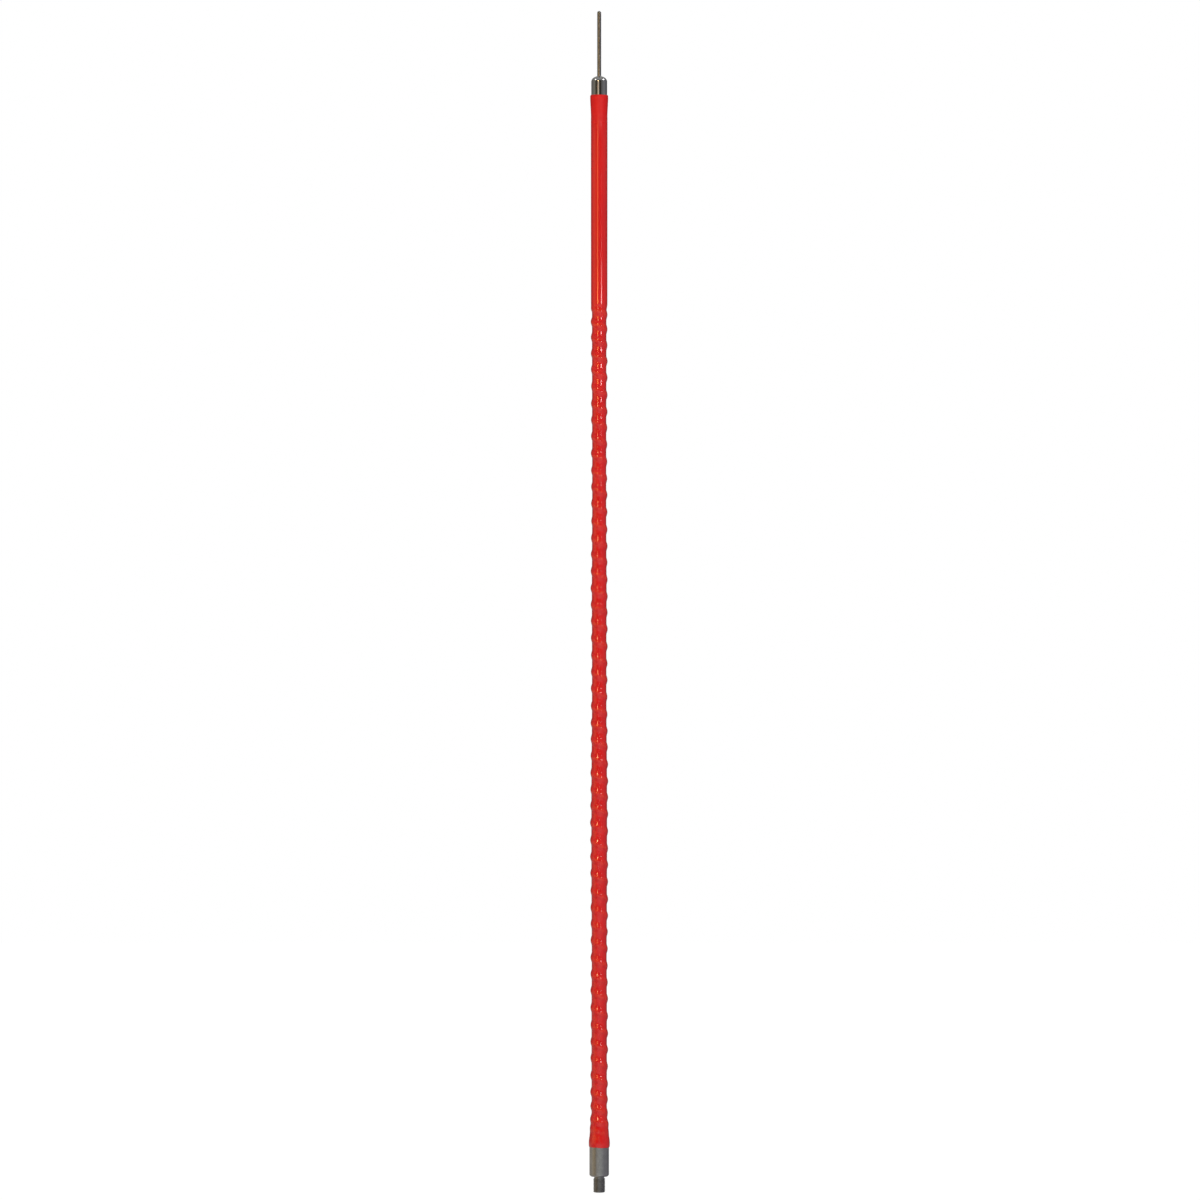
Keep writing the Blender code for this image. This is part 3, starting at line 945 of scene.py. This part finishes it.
def ridge_share(angles, heights, crests):
    """How high the wire lifts the jacket at each point, from 0 to 1."""
    part_turn = (angles - math.pi) / (2 * math.pi) % 1
    nearest = np.full(angles.shape, FAR)
    for whole in range(-1, math.floor(FOOT_TURN) + 1):
        turn = whole + part_turn
        centre = np.interp(turn, crests[0], crests[1])
        outside = (turn < COIL_TURN) | (turn > FOOT_TURN + 0.2)
        distance = np.where(outside, FAR, np.abs(heights - centre))
        nearest = np.minimum(nearest, distance)
    across = np.clip(nearest / RIDGE_HALF_WIDTH, 0, 1)
    return (1 - across**2) ** 2


def ribbed_radius(angles, heights):
    """The radius over the winding, with the rise that the wire makes and the share of scuffing and
    painted warm sheen on that rise.
    """
    turns = np.linspace(COIL_TURN - 1.5, FOOT_TURN + 1.5, 2200)
    crests = (turns, np.array([wire_height(turn) for turn in turns]))
    ridge = ridge_share(angles, heights, crests)
    over_coil = fade(heights - SMOOTH_FOOT, -5.5, 6.5)
    uneven = 1 + 0.10 * np.sin(heights * 61 + angles) + 0.06 * np.sin(heights * 173 + 2 * angles)
    lift = 1 - (1 - ridge) * (1 - over_coil)
    rise = RIDGE_HEIGHT * np.where(over_coil > 0, 1, uneven) * lift
    rise += COIL_SWELL * eased((heights - SMOOTH_FOOT) / (SMOOTH_TOP - SMOOTH_FOOT))
    slack = through(heights, LOOSENESS) * (1 - over_coil)
    wear_and_sheen = ridge * (1 - over_coil) + COIL_WEAR_AND_SHEEN * over_coil
    return VALLEY_RADIUS + slack + rise, rise, wear_and_sheen


def flared_radius(angles, heights, radius, rise):
    """The radius near the foot, where the jacket widens over the base ferrule."""
    above_foot = heights - JACKET_FOOT
    lean = FLARE_LEAN * (1 - np.cos(angles)) / 2
    flare = through(heights, BASE_FLARE, JACKET_FOOT)
    flare = flare - lean * (1 - fade(above_foot, 12, 15))
    flare = flare + FLARE_RIDGE * rise * fade(above_foot, 8, 16)
    share = fade(above_foot, 18, 14)
    return flare * (1 - share) + radius * share


def lead_bump(angles, heights):
    """The small rise where the wire's upper lead lies under the jacket's front."""
    aside = (angles + math.pi / 2) * VALLEY_RADIUS / (1.1 * MM)
    along = (heights - SMOOTH_TOP + 1.5 * MM) / (3.2 * MM)
    return LEAD_BUMP * np.exp(-(aside**2) - along**2)


def jacket_radius(angles, heights):
    """The jacket's outer radius and its share of scuffing and painted warm sheen, from 0 to 1, at each
    angle and height.
    """
    radius, rise, wear_and_sheen = ribbed_radius(angles, heights)
    radius = flared_radius(angles, heights, radius, rise)
    mouth = through(heights, UPPER_MOUTH, SMOOTH_TOP)
    radius = np.where(heights > SMOOTH_TOP + UPPER_MOUTH[0][0] * MM, mouth, radius)
    return radius + lead_bump(angles, heights), wear_and_sheen


def upright_between(foot, top):
    """A test for the tube's upright edges that lie between two heights."""
    def test(edge):
        first, second = (vertex.co for vertex in edge.verts)
        if (first.xy - second.xy).length > MERGE:
            return False
        return min(first.z, second.z) > foot - MERGE and max(first.z, second.z) < top + MERGE
    return test


def plain_tube(name):
    """An open tube with closer rings where the jacket's shape needs them."""
    bpy.ops.object.select_all(action="DESELECT")
    bpy.ops.mesh.primitive_cylinder_add(
        vertices=JACKET_SIDES,
        radius=VALLEY_RADIUS,
        depth=JACKET_TOP - JACKET_FOOT,
        end_fill_type="NOTHING",
        location=(0, 0, (JACKET_TOP + JACKET_FOOT) / 2),
    )
    tube = new_piece(name)
    settle()
    lip_top = JACKET_TOP - LIP_LENGTH
    lip_foot = JACKET_FOOT + LIP_LENGTH
    ribs_top = SMOOTH_FOOT + 3 * MM
    start_editing(tube)
    for height in (lip_top, SMOOTH_TOP, ribs_top, lip_foot):
        bpy.ops.mesh.select_all(action="SELECT")
        bpy.ops.mesh.bisect(plane_co=(0, 0, height), plane_no=(0, 0, 1))
    stretches = (
        (lip_top, JACKET_TOP, (5,)),
        (SMOOTH_TOP, lip_top, (18,)),
        (ribs_top, SMOOTH_TOP, (44,)),
        (lip_foot, ribs_top, (11, 71)),
        (JACKET_FOOT, lip_foot, (5,)),
    )
    for foot, top, rounds in stretches:
        for cuts in rounds:
            pick(tube, "EDGE", upright_between(foot, top))
            bpy.ops.mesh.subdivide(number_cuts=cuts)
    stop_editing()
    return tube


def make_jacket(material):
    """The red tube, shrunk over wire and ferrules: shaped ring by ring from a plain tube."""
    jacket = plain_tube("ribbed_vinyl_jacket")
    wall = jacket.modifiers.new("Wall", "SOLIDIFY")
    wall.thickness = JACKET_WALL
    wall.offset = -1
    apply_modifiers(jacket)
    shape_jacket(jacket.data)
    start_editing(jacket)
    weld()
    stop_editing()
    return finished(jacket, "antenna", "red_vinyl", material, "vinyl_jacket", degrees=70)


def inner_radius(heights, radius):
    """The wall's inner radius, which clears both ferrules and the rod."""
    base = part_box("base_ferrule")[1]
    top_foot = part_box("top_ferrule")[0].z
    top_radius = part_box("top_ferrule")[1].x
    inner = radius - JACKET_WALL
    inner = np.where(heights < base.z + MOUTH_OVERLAP, base.x + CLEAR, inner)
    inner = np.where(heights > top_foot - MOUTH_OVERLAP, top_radius + CLEAR, inner)
    return np.maximum(inner, ROD_RADIUS)


def shape_jacket(mesh):
    """Moves the tube's outer and inner points to their radii and rounds both mouths."""
    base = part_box("base_ferrule")[1]
    points = read_points(mesh)
    angles = np.arctan2(points[:, 1], points[:, 0])
    heights = points[:, 2]
    outside = np.hypot(points[:, 0], points[:, 1]) > VALLEY_RADIUS - JACKET_WALL / 2
    outer, wear_and_sheen = jacket_radius(angles, heights)
    to_end = np.minimum(heights - JACKET_FOOT, JACKET_TOP - heights)
    share = np.clip(1 - to_end / LIP_ROUND, 0, 1)
    tuck = LIP_ROUND * 0.6 * (1 - np.sqrt(1 - share**2))
    radius = np.where(outside, outer - tuck, inner_radius(heights, outer) + tuck * 0.2)
    over_base = outside & (heights < base.z)
    radius = np.where(over_base, np.maximum(radius, base.x + 2 * CLEAR), radius)
    points[:, 0] = radius * np.cos(angles)
    points[:, 1] = radius * np.sin(angles)
    uneven = MOUTH_SLANT * (1 - np.cos(angles)) + MOUTH_WAVE * (1 + np.sin(3 * angles + 1))
    points[:, 2] = heights + uneven * (1 - fade(heights - JACKET_FOOT, 0, 9))
    write_points(mesh, points)
    # The ridge attribute carries the ridges' share of scuffing and painted warm sheen to the jacket's
    # material
    ridge = mesh.attributes.new("ridge", "FLOAT", "POINT")
    ridge.data.foreach_set("value", wear_and_sheen.astype(np.float32))
    mesh.update()


def make_solder_bead(name, node, material):
    """A blob of solder, sagged and lumpy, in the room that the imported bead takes."""
    low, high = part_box(node)
    middle = (low + high) / 2
    size = (high - low) * 0.97
    bpy.ops.object.select_all(action="DESELECT")
    bpy.ops.mesh.primitive_ico_sphere_add(subdivisions=4, radius=0.5, location=(0, 0, 0))
    bead = new_piece(name)
    for vertex in bead.data.vertices:
        x, y, z = vertex.co
        lump = 0.94 + 0.05 * math.sin(9 * x + 3) * math.sin(8 * y + 1) - 0.04 * math.sin(11 * z)
        vertex.co = Vector((x * size.x, y * size.y, z * size.z)) * lump + middle
    bead.data.update()
    return finished(bead, "antenna", "solder", material, node, degrees=80)


def dress_kept_nodes():
    """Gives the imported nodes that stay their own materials."""
    epoxy = amber_epoxy()
    kept = {
        "fibreglass_rod": fibreglass(),
        "base_epoxy_bond": epoxy,
        "top_epoxy_bond": epoxy,
    }
    for name, material in kept.items():
        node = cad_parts[name]
        node.data.materials.clear()
        node.data.materials.append(material)


# ---------------------------------------------------------------- studio


def make_floor():
    bpy.ops.object.select_all(action="DESELECT")
    bpy.ops.mesh.primitive_plane_add(size=FLOOR_SIZE, location=(0, 0, cad_low.z - FLOOR_DROP))
    floor = bpy.context.object
    floor.name = "studio_floor"
    floor.data.materials.append(pale_floor())


def area_light(name, place, target, size, power, colour):
    """A soft lamp that faces a point and isn't seen by the camera itself."""
    data = bpy.data.lights.new(name, "AREA")
    data.shape = "RECTANGLE"
    data.size, data.size_y = size
    data.energy = power
    data.color = colour
    lamp = bpy.data.objects.new(name, data)
    bpy.context.scene.collection.objects.link(lamp)
    lamp.location = place
    lamp.rotation_euler = (Vector(target) - Vector(place)).to_track_quat("-Z", "Y").to_euler()
    lamp.visible_camera = False
    return lamp


def around(azimuth, elevation, distance, height=CAMERA_HEIGHT):
    """A point round the antenna. Azimuth 0 is towards the camera, positive to the right."""
    a = math.radians(azimuth)
    e = math.radians(elevation)
    level = distance * math.cos(e)
    return (level * math.sin(a), -level * math.cos(a), height + distance * math.sin(e))


# Each lamp's name, place, size, watts and colour. The fills have the height that they aim at, too
LAMPS = (
    ("left_key", around(-70, 50, 2.6), (0.4, 0.4), 7, (1.0, 0.88, 0.76)),
    ("right_key", around(80, 50, 2.6), (0.4, 0.4), 9, (0.98, 0.92, 1.0)),
    ("warm_strip", around(-22, 0, 2.0, 0.88), (0.50, 0.34), 1.6, (1.0, 0.50, 0.13)),
    ("warm_dash", around(-22, 0, 2.0, 0.765), (0.30, 0.15), 1.5, (1.0, 0.50, 0.13)),
    ("white_strip", around(33, 0, 2.0, 0.765), (0.38, 0.15), 3.0, (1.0, 0.88, 0.90)),
    ("warm_panel", around(-66, 0, 2.0, 0.45), (1.9, 1.2), 3.0, (1.0, 0.66, 0.24)),
    ("top_strip", around(-12, 0, 2.0, 1.11), (0.72, 0.17), 0.27, (1.0, 0.80, 0.62)),
    ("glint", around(-15, 27, 2.4), (0.34, 0.34), 6.0, (1.0, 0.70, 0.32)),
)
FILLS = (
    ("front_fill", around(12, 4, 3.4), (3.0, 1.2), 34, (1.0, 0.97, 0.96), CAMERA_HEIGHT),
    ("low_fill", around(0, -4, 3.4), (1.8, 0.6), 26, (1.0, 0.97, 0.96), 0.2),
    ("back_fill", around(170, 22, 3.4), (2.4, 1.6), 44, (0.98, 0.98, 1.0), CAMERA_HEIGHT),
)


def make_lights():
    """The lamps that show in the gloss, and the fills that only light."""
    for name, place, size, power, colour in LAMPS:
        area_light(name, place, (0, 0, CAMERA_HEIGHT), size, power, colour)
    for name, place, size, power, colour, aim in FILLS:
        area_light(name, place, (0, 0, aim), size, power, colour).visible_glossy = False


def compass_ramp(tree, turned, stops):
    """Light by compass direction, from (azimuth, colour) stops. Azimuth 0 is the camera's side."""
    ramp = tree.nodes.new("ShaderNodeValToRGB")
    ramp.color_ramp.interpolation = "EASE"
    marks = ramp.color_ramp.elements
    while len(marks) > 1:
        marks.remove(marks[-1])
    marks[0].position = 0
    marks[0].color = (*stops[0][1], 1)
    for azimuth, colour in stops[1:]:
        marks.new((azimuth + 180) / 360).color = (*colour, 1)
    tree.links.new(turned, ramp.inputs["Fac"])
    return ramp.outputs["Color"]


def room_light(tree, direction):
    """The dim room's light: the walls, the pale floor below them and the ceiling above."""
    split = tree.nodes.new("ShaderNodeSeparateXYZ")
    tree.links.new(direction, split.inputs["Vector"])
    ahead = spread(tree, split.outputs["Y"], -1, 1, 1, -1)
    compass = arithmetic(tree, "ARCTAN2", split.outputs["X"], ahead)
    turned = spread(tree, compass, -math.pi, math.pi, 0, 1)
    walls = compass_ramp(tree, turned, ROOM)
    floor = compass_ramp(tree, turned, FLOOR_GLOW)
    below = spread(tree, split.outputs["Z"], -0.09, -0.02, 0.85, 0)
    above = spread(tree, split.outputs["Z"], 0.35, 0.85, 0, 1)
    return blended(tree, above, blended(tree, below, walls, floor), CEILING)


def make_world():
    """White behind the object, and a dim room with a darker camera side for it to reflect."""
    world = bpy.data.worlds.new("studio")
    bpy.context.scene.world = world
    world.use_nodes = True
    tree = world.node_tree
    tree.nodes.clear()
    path = tree.nodes.new("ShaderNodeLightPath")
    direction = tree.nodes.new("ShaderNodeTexCoord")
    room = tree.nodes.new("ShaderNodeBackground")
    tree.links.new(room_light(tree, direction.outputs["Generated"]), room.inputs["Color"])
    white = tree.nodes.new("ShaderNodeBackground")
    white.inputs["Color"].default_value = (1, 1, 1, 1)
    white.inputs["Strength"].default_value = 1.0
    mix = tree.nodes.new("ShaderNodeMixShader")
    tree.links.new(path.outputs["Is Camera Ray"], mix.inputs["Fac"])
    tree.links.new(room.outputs["Background"], mix.inputs[1])
    tree.links.new(white.outputs["Background"], mix.inputs[2])
    out = tree.nodes.new("ShaderNodeOutputWorld")
    tree.links.new(mix.outputs["Shader"], out.inputs["Surface"])


def make_camera():
    data = bpy.data.cameras.new("camera")
    data.lens = CAMERA_LENS
    data.sensor_width = 36
    data.clip_end = 100
    camera = bpy.data.objects.new("camera", data)
    bpy.context.scene.collection.objects.link(camera)
    camera.location = (CAMERA_ASIDE, -CAMERA_DISTANCE, CAMERA_HEIGHT)
    camera.rotation_euler = (math.pi / 2, 0, 0)
    bpy.context.scene.camera = camera


bpy.context.scene.view_settings.view_transform = "Standard"
make_camera()
make_world()
make_lights()
make_floor()
dress_kept_nodes()
make_winding(enamelled_copper())
solder = soft_solder()
make_solder_bead("base_solder_bead", "base_solder_joint", solder)
make_solder_bead("top_solder_bead", "top_solder_joint", solder)
make_base_ferrule(turned_nickel())
make_top_ferrule(bright_chrome())
make_whip(drawn_steel())
make_set_screw(black_steel())
make_jacket(red_vinyl())
